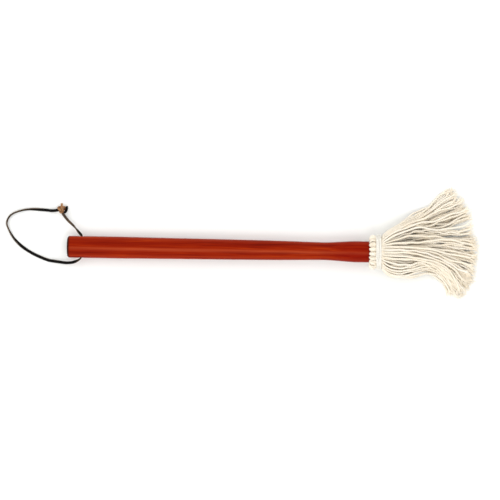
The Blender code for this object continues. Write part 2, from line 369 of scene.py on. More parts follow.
# The relaxation: shares of each error that a round mends, the sag of a round in metres, and
# distances as shares of the yarn's diameter or radius
RELAX_ROUNDS = 70
PAIRS_EVERY = 5
PULL_BACK = 0.045
SAG = 0.00006
STRAIGHTEN = 0.35
PUSH = 0.22
LENGTH_PULL = 0.45
TOUCHING = 0.96
PAIR_REACH = 1.3
FLOOR_ROOM = 1.15
SPIGOT_ROOM = 0.8
NO_LENGTH = 1e-9


def fan_places(across, up):
    """Each strand's place in the fan, spread evenly from -1 to 1 in the order of leaving."""
    order = np.argsort(across - TOP_LAYER_SHIFT * up, kind="stable")
    places = np.empty(len(across))
    places[order] = np.linspace(-1.0, 1.0, len(across))
    return places


def fan_headings(places, distances):
    """Plan heading in degrees of every strand (rows) at every distance (columns)."""
    rows = np.array([place for place, _ in FAN_ROWS])
    table = np.array([headings for _, headings in FAN_ROWS], float)
    at_places = np.array([np.interp(places, rows, column) for column in table.T]).T
    steps = FAN_STEP * np.arange(table.shape[1])
    return np.array([np.interp(d, steps, row) for d, row in zip(distances, at_places)])


def fan_targets(across, up, places, lengths, random):
    """Where each strand's links would lie, before they push each other apart.

    across and up say where a strand leaves the binding, as shares of the head's radius.
    """
    count = len(across)
    links = int(STRAND_LENGTH / LINK)
    distances = np.outer(lengths, np.arange(links + 1) / links)
    middles = (distances[:, 1:] + distances[:, :-1]) / 2
    headings = fan_headings(places, middles) + wander(count, np.arange(links) / links, random)
    headings = np.radians(headings)
    stride = (lengths / links)[:, None]
    start = on_axis(np.full(count, BINDING_FRONT), across * HEAD_RADIUS, up * HEAD_RADIUS)
    points = np.repeat(start[:, None], links + 1, axis=1)
    points[:, 1:, 0] += np.cumsum(np.cos(headings) * stride, axis=1)
    points[:, 1:, 1] += np.cumsum(np.sin(headings) * stride, axis=1)
    heights = np.interp(distances, FAN_STEP * np.arange(len(FAN_HEIGHTS)), FAN_HEIGHTS)
    rise = (up + np.sqrt(np.maximum(0.0, 1.0 - across**2)))[:, None] / 2
    settled = smoothstep(distances, SETTLE_START, SETTLE_END)
    points[..., 2] += (heights * rise + YARN_RADIUS - points[..., 2]) * settled
    return points


def wander(count, shares, random):
    """Slow bends of each strand's own, in degrees, that grow away from the binding."""
    bends = np.zeros((count, len(shares)))
    for waves, size in WANDER_WAVES:
        phase = random.uniform(0.0, math.tau, (count, 1))
        strength = random.normal(0.0, size, (count, 1))
        bends += strength * np.sin(math.tau * waves * shares + phase)
    return bends * smoothstep(shares, WANDER_START, WANDER_END)


def close_pairs(points, reach):
    """Index pairs of points that share or neighbour a cell of size reach."""
    cells = np.floor(points / reach).astype(np.int64)
    cells -= cells.min(axis=0) - 1
    sizes = cells.max(axis=0) + 2
    strides = np.array((sizes[1] * sizes[2], sizes[2], 1))
    keys = cells @ strides
    order = np.argsort(keys, kind="stable")
    ordered = keys[order]
    offsets = [(x, y, z) for x in (-1, 0, 1) for y in (-1, 0, 1) for z in (-1, 0, 1)]
    firsts, seconds = [], []
    for offset in offsets[len(offsets) // 2:]:
        wanted = ordered + np.array(offset) @ strides
        low = np.searchsorted(ordered, wanted, "left")
        counts = np.searchsorted(ordered, wanted, "right") - low
        first = np.repeat(np.arange(len(points)), counts)
        second = np.arange(counts.sum()) - np.repeat(np.cumsum(counts) - counts, counts)
        second += np.repeat(low, counts)
        kept = second > first if offset == (0, 0, 0) else slice(None)
        firsts.append(order[first[kept]])
        seconds.append(order[second[kept]])
    return np.concatenate(firsts), np.concatenate(seconds)


def relax(targets, lengths):
    """Let the strands push each other apart, sag and keep their length, near where they were."""
    strands, links = targets.shape[:2]
    points = targets.copy()
    owner = np.repeat(np.arange(strands), links)
    rest = (lengths / (links - 1))[:, None]
    diameter = 2 * YARN_RADIUS * TOUCHING
    for turn in range(RELAX_ROUNDS):
        points[:, 1:] += PULL_BACK * (targets - points)[:, 1:]
        points[:, 1:, 2] -= SAG
        flat = points.reshape(-1, 3)
        if turn % PAIRS_EVERY == 0:
            first, second = close_pairs(flat, diameter * PAIR_REACH)
            apart = owner[first] != owner[second]
            first, second = first[apart], second[apart]
        push_apart(flat, first, second, diameter)
        points = flat.reshape(points.shape)
        middle = (points[:, :-2] + points[:, 2:]) / 2
        points[:, 1:-1] += STRAIGHTEN * (middle - points[:, 1:-1])
        keep_lengths(points, rest)
        keep_clear(points)
        points[:, 0] = targets[:, 0]
    return points


def push_apart(points, first, second, diameter):
    """Move the two points of each pair that is closer than diameter away from each other."""
    gap = points[second] - points[first]
    distance = np.linalg.norm(gap, axis=1) + NO_LENGTH
    overlap = np.maximum(0.0, diameter - distance)
    move = gap * (PUSH * overlap / distance)[:, None]
    for axis in range(3):
        points[:, axis] -= np.bincount(first, move[:, axis], len(points))
        points[:, axis] += np.bincount(second, move[:, axis], len(points))


def keep_lengths(points, rest):
    """Bring every link towards its length at rest, first the even links and then the odd."""
    for start in (0, 1):
        head = points[:, start:-1:2]
        tail = points[:, start + 1::2]
        gap = tail - head
        distance = np.linalg.norm(gap, axis=2) + NO_LENGTH
        move = gap * (LENGTH_PULL * (distance - rest) / distance)[..., None]
        head += move
        tail -= move


def keep_clear(points):
    """Keep every link off the floor and outside the spigot."""
    points[..., 2] = np.maximum(points[..., 2], FLOOR_ROOM * YARN_RADIUS)
    stations = station_of(points)
    centres = on_axis(stations)
    out = points - centres
    radius = np.linalg.norm(out, axis=-1) + NO_LENGTH
    beside_spigot = stations < SPIGOT_END + YARN_RADIUS
    room = np.where(beside_spigot, SPIGOT_RADIUS + YARN_RADIUS * SPIGOT_ROOM, 0.0)
    grow = np.maximum(1.0, room / radius)
    points[...] = centres + out * grow[..., None]


# ---------------- locks of yarn

# Radii from the handle's axis, one for each yarn of a lock: of the inner and outer strand where
# they spread, and of the outer strand under the binding; then how far each fold stands out
FREE_INNER_RADII = (0.0090, 0.0064, 0.0042, 0.0022)
FREE_OUTER_RADII = (0.0155, 0.0134, 0.0156, 0.0115)
BOUND_OUTER_RADII = (0.0155, 0.0158, 0.0156, 0.0150)
FOLD_BULGES = (0.0000, 0.0009, 0.0007, 0.0000)
FOLD_BULGE_RANGE = (-0.0002, 0.0003)

# The fold: its middle's radius and its own, and points of the yarn that lead into and out of it
FOLD_PIVOT_RADIUS = 0.0133
FOLD_REACH = 0.0022
FOLD_TURNS = (-90, -45, 0, 45, 90)
FOLD_BUNCHING = 0.82
LEAD_IN = (0.002, 0.005)
LEAD_OUT_STATION = 0.0025
LEAD_OUT_DROP = 0.0002
COLLAR_END = 0.003
COLLAR_END_DROP = 0.0004

# Strand lengths: trims towards the fan's edges, and the uneven cut
LEFT_EDGE_TRIM = 0.010
LEFT_EDGE_PLACES = (0.6, 1.0)
RIGHT_EDGE_TRIM = 0.005
RIGHT_EDGE_PLACES = (0.3, 0.8)
CUT_SPREAD = 0.0022
CUT_RANGE = (-0.006, 0.004)
CUT_TRIM = 0.0085

HEAD_SEED = 11
START_EASE = 0.016
SQUEEZE_EASE = 0.012
YARN_STEP = 0.0010
YARN_SPREAD = (-0.04, 0.04)


def collar_path(angle, bulge):
    """From the binding's front, back along the spigot, round the tie and out again.

    bulge is how far the fold stands out past its neighbours.
    """
    inner = FOLD_PIVOT_RADIUS - FOLD_REACH
    outer = FOLD_PIVOT_RADIUS + FOLD_REACH + bulge
    stations = [BINDING_FRONT - distance for distance in LEAD_IN]
    radii = [inner, inner]
    for turn in np.radians(FOLD_TURNS):
        lift = bulge * 0.5 * (1 + math.sin(turn))
        reach = FOLD_REACH + lift
        stations.append(FOLD_STATION - (reach + bulge) * math.cos(turn))
        radii.append(FOLD_PIVOT_RADIUS + reach * math.sin(turn) + lift)
    stations += [FOLD_STATION + LEAD_OUT_STATION, BINDING_FRONT - COLLAR_END]
    radii += [outer - LEAD_OUT_DROP, outer - bulge - COLLAR_END_DROP]
    return on_axis(np.array(stations), *across_and_up(np.array(radii), angle))


def strand_lengths(places, random):
    """Length of every strand from the binding's front to its cut end."""
    lengths = STRAND_LENGTH - LEFT_EDGE_TRIM * smoothstep(places, *LEFT_EDGE_PLACES)
    lengths -= RIGHT_EDGE_TRIM * smoothstep(-places, *RIGHT_EDGE_PLACES)
    uneven = np.clip(random.normal(0.0, CUT_SPREAD, len(places)), *CUT_RANGE)
    return lengths + (uneven - CUT_TRIM)


def lay_strands(angles, yarn, random):
    """Every strand's points from the binding to its cut end, all inner ones before the outer."""
    both = np.concatenate([angles, angles])
    free_radii = np.concatenate([
        np.array(FREE_INNER_RADII)[yarn],
        np.array(FREE_OUTER_RADII)[yarn],
    ])
    bound_radii = np.concatenate([
        np.full(len(angles), FOLD_PIVOT_RADIUS - FOLD_REACH),
        np.array(BOUND_OUTER_RADII)[yarn],
    ])
    across, up = across_and_up(free_radii, both)
    across, up = across / HEAD_RADIUS, up / HEAD_RADIUS
    places = fan_places(across, up)
    lengths = strand_lengths(places, random)
    targets = fan_targets(across, up, places, lengths, random)
    start = on_axis(np.full(len(both), BINDING_FRONT), *across_and_up(bound_radii, both))
    distances = np.outer(lengths, np.linspace(0.0, 1.0, targets.shape[1]))
    ease = 1.0 - smoothstep(distances, 0.0, START_EASE)
    targets += (start - targets[:, 0])[:, None] * ease[..., None]
    return relax(targets, lengths)


def build_locks(material):
    """Every yarn as one strand; the yarns of a lock are one piece, which replaces its CAD node."""
    random = np.random.default_rng(HEAD_SEED)
    numbers = np.arange(len(LOCKS) * YARNS_PER_LOCK)
    yarn = numbers % YARNS_PER_LOCK
    angles = math.tau * (numbers + 0.5) / len(numbers)
    middles = math.tau * (numbers // YARNS_PER_LOCK + 0.5) / len(LOCKS)
    fold_angles = middles + (angles - middles) * FOLD_BUNCHING
    strands = lay_strands(angles, yarn, random)
    for lock, name in enumerate(LOCKS):
        joined = Joined()
        for i in range(lock * YARNS_PER_LOCK, (lock + 1) * YARNS_PER_LOCK):
            bulge = FOLD_BULGES[yarn[i]]
            add_yarn(joined, strands[i], strands[len(numbers) + i], fold_angles[i], bulge, random)
        piece = joined.build(f"{name}_strands", material)
        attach(piece, "mop")
        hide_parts(name)


def add_yarn(joined, inner, outer, angle, bulge, random):
    """One yarn from its inner cut end, round the fold, to its outer cut end."""
    collar = collar_path(angle, bulge + random.uniform(*FOLD_BULGE_RANGE))
    path = resampled(np.vstack([inner[::-2], collar, outer[::2]]), YARN_STEP)
    bound = 1.0 - smoothstep(station_of(path), BINDING_FRONT, BINDING_FRONT + SQUEEZE_EASE)
    radii = YARN_RADIUS * (1.0 - YARN_SQUEEZE * bound) * (1 + random.uniform(*YARN_SPREAD))
    tone = random.uniform(0.0, 1.0)
    phase = random.uniform(0.0, 1.0)
    add_strand(joined, path, radii, YARN_PLIES, YARN_TWIST, phase, tone)
    for end in (path, path[::-1]):
        add_fray(joined, end, YARN_RADIUS, random, tone)


# ---------------- twine

TWINE_PLIES = 3
TWINE_STEP = 0.0006
TWINE_TWIST = 6.5
TWINE_TONE = 0.8
BINDING_SEED = 5
TIE_SEED = 6
TURN_STEPS = 48
WINDING_START = -1.9

# How the turns stray from an even coil: each end is tucked in by a share of the radius over a
# part of a turn, the radius wavers in two waves, and the turns drift along the handle
TUCK_DEPTH = 0.07
TUCK_TURNS = 0.12
WAVER = ((0.004, 5, 1.0), (0.003, 11, 0.0))
DRIFT = 0.00012
DRIFT_WAVES = 3.3
DRIFT_PHASES = (0, 6)


def winding_path(start, end, radius, random):
    """Turns of twine side by side round the handle's axis, each end tucked under the next turn."""
    share = np.linspace(0.0, 1.0, TWINE_TURNS * TURN_STEPS + 1)
    angles = math.tau * TWINE_TURNS * share + WINDING_START
    turns_from_end = np.minimum(share, 1 - share) * TWINE_TURNS
    reach = radius * (1.0 - TUCK_DEPTH * (1.0 - smoothstep(turns_from_end, 0.0, TUCK_TURNS)))
    reach *= 1.0 + sum(size * np.sin(waves * angles + phase) for size, waves, phase in WAVER)
    drift = DRIFT * np.sin(DRIFT_WAVES * angles + random.uniform(*DRIFT_PHASES))
    return on_axis(start + (end - start) * share + drift, *across_and_up(reach, angles))


def build_winding(node, outside, thickness, material, seed):
    """A winding of plied twine that fills a CAD winding's (first, last, radius)."""
    first, last, radius = outside
    random = np.random.default_rng(seed)
    line = winding_path(first + thickness, last - thickness, radius - thickness, random)
    path = resampled(line, TWINE_STEP)
    radii = np.full(len(path), thickness)
    joined = Joined()
    add_strand(joined, path, radii, TWINE_PLIES, thickness * TWINE_TWIST, 0.0, TWINE_TONE)
    piece = joined.build(f"{node}_turns", material)
    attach(piece, "mop")
    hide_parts(node)


def build_twine(material):
    """The binding that shows and the tie hidden under the fold."""
    binding = (BINDING_START, BINDING_END, BINDING_RADIUS)
    tie = (TIE_START, TIE_END, TIE_RADIUS)
    build_winding("binding_twine", binding, BINDING_TWINE_RADIUS, material, BINDING_SEED)
    build_winding("inner_tie", tie, TIE_TWINE_RADIUS, material, TIE_SEED)


# ---------------- handle

HANDLE_SIDES = 96
RING_SPACING = 0.002
BUTT_ROUND = 0.0029
BUTT_RINGS = (0.0, 0.3, 0.6)
EDGE_RINGS = 9

# The step down from the flare to the spigot, and the spigot's chamfered end
SHOULDER_STATION = 0.3175
SHOULDER = ((0.0003, 0.0007), (0.0010, 0.0))
SPIGOT_FLAT = 0.011
SPIGOT_ROUND = 0.002
SPIGOT_BREAK = 0.3

# The hanging hole, whose rim is rounded and then flares out past the handle's side
HOLE_RADIUS = 0.00225
RIM_ROUND = 0.0007
RIM_START = 2
RIM_SPREAD = 1.6
RIM_TURNS = (30, 55, 75)
CUTTER_PAST_SIDE = 0.002
CUTTER_FLARE = 0.004


def handle_profile():
    """Station and radius pairs of the whole handle, from the middle of its butt to its spigot's."""
    stations = HANDLE_OUTLINE[:, 0]
    side = HANDLE_OUTLINE[(stations > BUTT_ROUND) & (stations < SHOULDER_STATION)]
    radius = float(side[0, 1])
    curve = catmull_rom(np.insert(side, 1, 0.0, axis=1), CURVE_STEPS)[:, (0, 2)]
    even = np.arange(BUTT_ROUND + RING_SPACING, curve[-1, 0], RING_SPACING)
    body = np.stack([even, np.interp(even, curve[:, 0], curve[:, 1])], axis=1)
    turns = np.radians(np.linspace(90.0, 0.0, EDGE_RINGS))
    inset = BUTT_ROUND * (1 - np.cos(turns))
    edge = np.stack([BUTT_ROUND * (1 - np.sin(turns)), radius - inset], axis=1)
    butt = [(0.0, share * radius) for share in BUTT_RINGS]
    shoulder = [(SHOULDER_STATION + x, SPIGOT_RADIUS + out) for x, out in SHOULDER]
    spigot = [
        (SPIGOT_END - SPIGOT_FLAT, SPIGOT_RADIUS),
        (SPIGOT_END - SPIGOT_ROUND, SPIGOT_RADIUS),
        (SPIGOT_END - SPIGOT_BREAK * SPIGOT_ROUND, SPIGOT_RADIUS - SPIGOT_BREAK * SPIGOT_ROUND),
        (SPIGOT_END, SPIGOT_RADIUS - SPIGOT_ROUND),
        (SPIGOT_END, 0.0),
    ]
    return np.vstack([butt, edge, body, shoulder, spigot])


def build_handle(material):
    """The turned handle with a rounded butt edge and a bored, softened hanging hole."""
    vertices, faces = lathe(handle_profile())
    handle = mesh_object("turned_handle", vertices, faces, material, SHARP_HANDLE_ANGLE)
    handle.matrix_world = axis_matrix()
    cut_hole(handle, material)
    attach(handle, "mop")
    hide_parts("handle")


def axis_matrix():
    """The handle's own axes: X along it from the butt, Y across and Z square up."""
    matrix = Matrix.Identity(4)
    for column, vector in enumerate((AXIS, ACROSS, AXIS_UP, BUTT)):
        for row in range(3):
            matrix[row][column] = vector[row]
    return matrix


def lathe(profile):
    """A closed solid of revolution about X from (station, radius) pairs whose ends lie on X."""
    rings = profile[1:-1]
    angles = math.tau * np.arange(HANDLE_SIDES) / HANDLE_SIDES
    vertices = [(profile[0, 0], 0.0, 0.0)]
    for station, radius in rings:
        vertices += [(station, radius * math.cos(a), radius * math.sin(a)) for a in angles]
    vertices.append((profile[-1, 0], 0.0, 0.0))
    last = len(vertices) - 1
    faces = []
    for i in range(HANDLE_SIDES):
        j = (i + 1) % HANDLE_SIDES
        faces.append((0, 1 + j, 1 + i))
        for ring in range(len(rings) - 1):
            base = 1 + ring * HANDLE_SIDES
            faces.append((base + i, base + j, base + HANDLE_SIDES + j, base + HANDLE_SIDES + i))
        base = 1 + (len(rings) - 1) * HANDLE_SIDES
        faces.append((base + i, base + j, last))
    return vertices, faces


def hole_profile():
    """Distance and radius pairs of the tool that bores the hole, from one end to the other."""
    bore_end = HOLE_MOUTH - RIM_START * RIM_ROUND
    rim = RIM_SPREAD * RIM_ROUND
    half = [(0.0, HOLE_RADIUS), (bore_end, HOLE_RADIUS)]
    for turn in np.radians(RIM_TURNS):
        half.append((bore_end + rim * math.sin(turn), HOLE_RADIUS + rim * (1 - math.cos(turn))))
    half.append((HOLE_MOUTH + CUTTER_PAST_SIDE, HOLE_RADIUS + CUTTER_FLARE))
    mirrored = [(-distance, radius) for distance, radius in half[:0:-1]]
    end = half[-1][0]
    return np.array([(-end, 0.0), *mirrored, *half, (end, 0.0)])


def cut_hole(handle, material):
    """Bore the hole across, with a flared mouth on each side."""
    vertices, faces = lathe(hole_profile())
    cutter = mesh_object("hole_cutter", vertices, faces, material)
    place = Matrix.Translation((HOLE_STATION, 0, 0))
    cutter.matrix_world = axis_matrix() @ place @ Matrix.Rotation(math.radians(90.0), 4, "Z")
    bpy.context.view_layer.update()
    bore = handle.modifiers.new("hanging_hole", "BOOLEAN")
    bore.operation = "DIFFERENCE"
    bore.object = cutter
    graph = bpy.context.evaluated_depsgraph_get()
    graph.update()
    mesh = bpy.data.meshes.new_from_object(handle.evaluated_get(graph))
    handle.modifiers.clear()
    handle.data = mesh
    mesh.shade_smooth()
    mesh.set_sharp_from_angle(angle=math.radians(SHARP_HANDLE_ANGLE))
    bpy.data.objects.remove(cutter, do_unlink=True)


# ---------------- thong

# Points that the lace passes: distance along the floor from under the butt, sideways from under
# the handle, height above the floor, and how far the lace is rolled from lying flat, in degrees.
LONG_STRETCH = (
    (0.0150, 0.0000, 0.0117, 90),
    (0.0150, -0.0094, 0.0117, 90),
    (0.0139, -0.0121, 0.0115, 88),
    (0.0115, -0.0141, 0.0108, 75),
    (0.0084, -0.0154, 0.0097, 40),
    (0.0045, -0.0165, 0.0081, 10),
    (-0.0023, -0.0167, 0.0055, 0),
    (-0.0133, -0.0153, 0.0026, -5),
    (-0.0215, -0.0138, 0.0017, -5),
    (-0.0358, -0.0079, 0.0015, 10),
    (-0.0481, -0.0003, 0.0015, 50),
    (-0.0574, 0.0090, 0.0015, 90),
    (-0.0632, 0.0190, 0.0015, 112),
    (-0.0646, 0.0252, 0.0015, 118),
    (-0.0611, 0.0321, 0.0015, 116),
    (-0.0533, 0.0364, 0.0015, 108),
    (-0.0412, 0.0390, 0.0015, 95),
    (-0.0250, 0.0386, 0.0016, 30),
    (-0.0177, 0.0379, 0.0026, 5),
    (-0.0127, 0.0383, 0.0042, 0),
    (-0.0092, 0.0391, 0.0048, 0),
)
SHORT_STRETCH = (
    (0.0150, 0.0003, 0.0117, 90),
    (0.0150, 0.0094, 0.0117, 90),
    (0.0146, 0.0119, 0.0115, 60),
    (0.0129, 0.0142, 0.0110, 40),
    (0.0062, 0.0220, 0.0084, 105),
    (0.0001, 0.0277, 0.0064, 122),
    (-0.0048, 0.0336, 0.0051, 125),
    (-0.0062, 0.0360, 0.0049, 125),
)
LACE_STEP = 0.0008
LACE_CURVE_STEPS = 8
LACE_SIDES = 16
LACE_SQUARENESS = 0.32
GRAIN_SIDES = (0, 1, 2, 12, 13, 14, 15)
RESTING_HEIGHT = 0.00151
FLOOR_GAP = 0.0001

KNOT_PLACE = (-0.0072, 0.0396)
KNOT_HEIGHT = 0.0044
KNOT_SIZE = 0.00118
KNOT_CROSSING = 0.0020
KNOT_POINTS = 60
KNOT_STEP = 0.0005
KNOT_THINNING = (1.0, 0.72)
KNOT_NORMAL = (0.3, 0.2, 1.0)

# The lace's two cut ends, as points from the knot's centre, and their width as a share of it
TOP_TAIL = (
    (0.0, 0.0005, 0.0012),
    (0.0001, 0.0030, 0.0018),
    (0.0003, 0.0046, 0.0013),
    (0.0003, 0.0058, 0.0004),
)
TOP_TAIL_SIZE = 0.75
SIDE_TAIL = (
    (0.0004, -0.0018, 0.0002),
    (0.0028, -0.0034, 0.0008),
    (0.0048, -0.0020, 0.0010),
    (0.0056, 0.0008, 0.0004),
    (0.0054, 0.0030, -0.0008),
)
SIDE_TAIL_SIZE = 0.85


def floor_place(station, across):
    """World X and Y of a point given from under the butt."""
    return BUTT[0] + station, BUTT[1] + across


def lace_outline():
    """A flat lace's section as (normal, side) pairs: grain side up, edges softly rounded."""
    turns = math.tau * (np.arange(LACE_SIDES) + 0.5) / LACE_SIDES
    cos, sin = np.cos(turns), np.sin(turns)
    normal = LACE_THICKNESS / 2 * np.sign(cos) * np.abs(cos) ** LACE_SQUARENESS
    side = LACE_WIDTH / 2 * np.sign(sin) * np.abs(sin) ** LACE_SQUARENESS
    return np.stack([normal, side], axis=1)


def lace_path(stretch):
    """Even points along a stretch of lace, and its roll at each in radians."""
    table = np.array([(*floor_place(x, y), z, roll) for x, y, z, roll in stretch])
    fine = catmull_rom(table[:, :3], LACE_CURVE_STEPS)
    shares = np.arange(len(fine)) / LACE_CURVE_STEPS
    rolls = np.interp(shares, np.arange(len(table)), table[:, 3])
    along = arc_lengths(fine)
    even = np.linspace(0.0, along[-1], round(along[-1] / LACE_STEP) + 1)
    path = np.stack([np.interp(even, along, fine[:, i]) for i in range(3)], axis=1)
    return path, np.radians(np.interp(even, along, rolls))


def build_lace(name, stretch, grain, suede):
    """One stretch of the lace: a flat strip that rolls as it goes, grain on one face."""
    path, rolls = lace_path(stretch)
    normal, side = lace_outline().T
    cos, sin = np.cos(rolls)[:, None], np.sin(rolls)[:, None]
    rings = np.stack([normal * cos - side * sin, normal * sin + side * cos], axis=-1)
    half_height = np.abs(rings[..., 0]).max(axis=1)
    resting = path[:, 2] < RESTING_HEIGHT
    path[:, 2] -= np.where(resting, LACE_WIDTH / 2 - half_height, 0.0)
    path[:, 2] = np.maximum(path[:, 2], half_height + FLOOR_GAP)
    vertices, faces = sweep(path, rings)
    piece = mesh_object(name, vertices, faces, suede, SHARP_LACE_ANGLE)
    piece.data.materials.append(grain)
    paint_grain_side(piece)
    return piece, path


def paint_grain_side(piece):
    """The faces on the outline's upper side get the grain material, the second slot."""
    for index, polygon in enumerate(piece.data.polygons):
        if len(polygon.vertices) == 4 and index % LACE_SIDES in GRAIN_SIDES:
            polygon.material_index = 1


def build_thong():
    """The lace's two stretches from the bore to the knot, the knot and the two cut ends."""
    grain = grain_leather_material()
    suede = suede_material("leather_suede_looks", SUEDE_TONES)
    tan = suede_material("leather_knot_looks", KNOT_TONES)
    long_piece, long_path = build_lace("thong_loop", LONG_STRETCH, grain, suede)
    short_piece, short_path = build_lace("thong_short_stretch", SHORT_STRETCH, grain, suede)
    knot = build_knot(tan)
    tails = build_tails(grain, tan)
    for piece in (long_piece, short_piece, knot, *tails):
        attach(piece, "thong")
    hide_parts("leather_thong")
    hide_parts("thong_knot")


def knot_curve():
    """The line of an overhand knot pulled close: a small trefoil about the knot's centre."""
    t = np.linspace(0.0, math.tau, KNOT_POINTS)
    x = KNOT_SIZE * (np.sin(t) + 2 * np.sin(2 * t))
    y = KNOT_SIZE * (np.cos(t) - 2 * np.cos(2 * t))
    z = -KNOT_CROSSING * np.sin(3 * t)
    return np.stack([x, y, z], axis=1)


def knot_strip(name, points, size, material, start_normal=UP):
    """A strip of lace through points given from the knot's centre; size scales its section."""
    centre = np.array((*floor_place(*KNOT_PLACE), KNOT_HEIGHT))
    path = resampled(np.array(points) + centre, KNOT_STEP)
    rings = np.repeat((lace_outline() * size)[None], len(path), axis=0)
    vertices, faces = sweep(path, rings, start_normal)
    return mesh_object(name, vertices, faces, material, SHARP_LACE_ANGLE)


def build_knot(tan):
    """The overhand knot, of a strip a little thinner than the lace."""
    size = np.array(KNOT_THINNING)
    return knot_strip("thong_knot_tied", knot_curve(), size, tan, KNOT_NORMAL)


def build_tails(grain, tan):
    """The two cut ends: a dark one bent round the knot, and a short one with its flesh side out."""
    side = knot_strip("thong_tails", SIDE_TAIL, SIDE_TAIL_SIZE, grain)
    top = knot_strip("thong_top_tail", TOP_TAIL, TOP_TAIL_SIZE, tan)
    return side, top


# ---------------- materials


def new_material(name, color, roughness, shine):
    """A plain material; color and roughness show where a viewer can't run its nodes."""
    material = bpy.data.materials.new(name)
    material.use_nodes = True
    shader = material.node_tree.nodes["Principled BSDF"]
    shader.inputs["Base Color"].default_value = (*color, 1.0)
    shader.inputs["Roughness"].default_value = roughness
    shader.inputs["Specular IOR Level"].default_value = shine
    return material, material.node_tree, shader


def add_node(tree, kind, inputs=(), **settings):
    """A new node whose inputs are linked to the sockets, or set to the values, given."""
    node = tree.nodes.new(kind)
    for name, value in settings.items():
        setattr(node, name, value)
    for name, value in dict(inputs).items():
        if isinstance(value, bpy.types.NodeSocket):
            tree.links.new(value, node.inputs[name])
        else:
            node.inputs[name].default_value = value
    return node


def add_noise(tree, stretch, detail, roughness=0.55):
    """Noise in the object's own axes, with this many features a metre along X, Y and Z."""
    coordinates = add_node(tree, "ShaderNodeTexCoord")
    mapping = add_node(tree, "ShaderNodeMapping", {"Vector": coordinates.outputs["Object"]})
    mapping.inputs["Scale"].default_value = stretch
    inputs = {"Vector": mapping.outputs[0], "Scale": 1.0, "Detail": detail, "Roughness": roughness}
    return add_node(tree, "ShaderNodeTexNoise", inputs).outputs["Fac"]


def add_ramp(tree, factor, stops):
    """A colour ramp with (position, colour) stops."""
    ramp = add_node(tree, "ShaderNodeValToRGB", {"Fac": factor})
    elements = ramp.color_ramp.elements
    while len(elements) < len(stops):
        elements.new(0.5)
    for element, (position, color) in zip(elements, stops):
        element.position = position
        element.color = (*color, 1.0)
    return ramp.outputs["Color"]


def add_mix(tree, factor, first, second):
    """A mix of two colours, or of two values read as greys."""
    mix = add_node(tree, "ShaderNodeMix", data_type="RGBA")
    for socket, value in ((mix.inputs[0], factor), (mix.inputs[6], first), (mix.inputs[7], second)):
        if isinstance(value, bpy.types.NodeSocket):
            tree.links.new(value, socket)
        else:
            socket.default_value = value
    return mix.outputs[2]


def add_range(tree, value, low, high, out_low=0.0, out_high=1.0):
    inputs = {"Value": value, "From Min": low, "From Max": high}
    inputs.update({"To Min": out_low, "To Max": out_high})
    return add_node(tree, "ShaderNodeMapRange", inputs).outputs[0]


def add_math(tree, operation, first, second=0.0):
    return add_node(tree, "ShaderNodeMath", {0: first, 1: second}, operation=operation).outputs[0]


def add_layer(tree, color, value, layer):
    """Mix a layer's colour in as far as its range makes of the value."""
    span, tint = layer
    return add_mix(tree, add_range(tree, value, *span), color, (*tint, 1.0))


def add_bump(tree, shader, height, strength, distance):
    inputs = {"Height": height, "Strength": strength, "Distance": distance}
    bump = add_node(tree, "ShaderNodeBump", inputs)
    tree.links.new(bump.outputs[0], shader.inputs["Normal"])


# Each noise is its features a metre along X, Y and Z, its detail and its roughness. A layer is
# the range of a value, with the layer's share at both its ends, and then the layer's colour.
# A bump is its strength and its distance.
WOOD_COLOR = (0.36, 0.03, 0.005)
WOOD_ROUGHNESS = 0.42
WOOD_SHINE = 0.03
WOOD_BUMP = (0.35, 0.0002)
PORES = ((28.0, 1300.0, 1300.0), 4.0, 0.6)
PORE_ROUGHNESS = (0.3, 0.7, 0.46, 0.30)
STREAKS = ((7.0, 260.0, 260.0), 3.0)
BANDS = ((1.6, 150.0, 150.0), 2.0)
WOOD_STOPS = (
    (0.34, (0.110, 0.0034, 0.0003)),
    (0.45, (0.198, 0.0072, 0.0004)),
    (0.54, (0.255, 0.0140, 0.0005)),
    (0.66, (0.370, 0.0330, 0.0020)),
)
DARK_BANDS = ((0.50, 0.32, 0.0, 0.35), (0.180, 0.0045, 0.0003))
LIGHT_BANDS = ((0.52, 0.70, 0.0, 0.35), (0.360, 0.0340, 0.0050))
DARK_FLARE = ((0.262, 0.296, 0.0, 0.45), (0.190, 0.0010, 0.0001))
# The butt end darkened: its darker end grain, and painted shade on its rounded edge
END_GRAIN_AND_PAINTED_SHADE = ((0.0012, 0.0034, 0.95, 0.0), (0.022, 0.0050, 0.0022))

# The painted highlight, a paler line on the upper side where the key lamp's reflection falls: its
# colour, its place across, and the ranges that shape it across, up and by the streaks
PAINTED_HIGHLIGHT_WOOD = (0.400, 0.0600, 0.0180)
HIGHLIGHT_PLACE = -0.0019
HIGHLIGHT_ACROSS = (0.0004, 0.0024, 0.60, 0.0)
HIGHLIGHT_UP = (0.0, 0.006)
HIGHLIGHT_BROKEN = (0.40, 0.60, 0.45, 1.0)


def painted_highlight_share(tree, place, streaks):
    """How far the painted highlight shows: along one line on the upper side, broken by the streaks.
    """
    beside = add_math(tree, "SUBTRACT", place.outputs["Y"], HIGHLIGHT_PLACE)
    line = add_range(tree, add_math(tree, "ABSOLUTE", beside), *HIGHLIGHT_ACROSS)
    upper = add_range(tree, place.outputs["Z"], *HIGHLIGHT_UP)
    broken = add_range(tree, streaks, *HIGHLIGHT_BROKEN)
    return add_math(tree, "MULTIPLY", add_math(tree, "MULTIPLY", line, upper), broken)


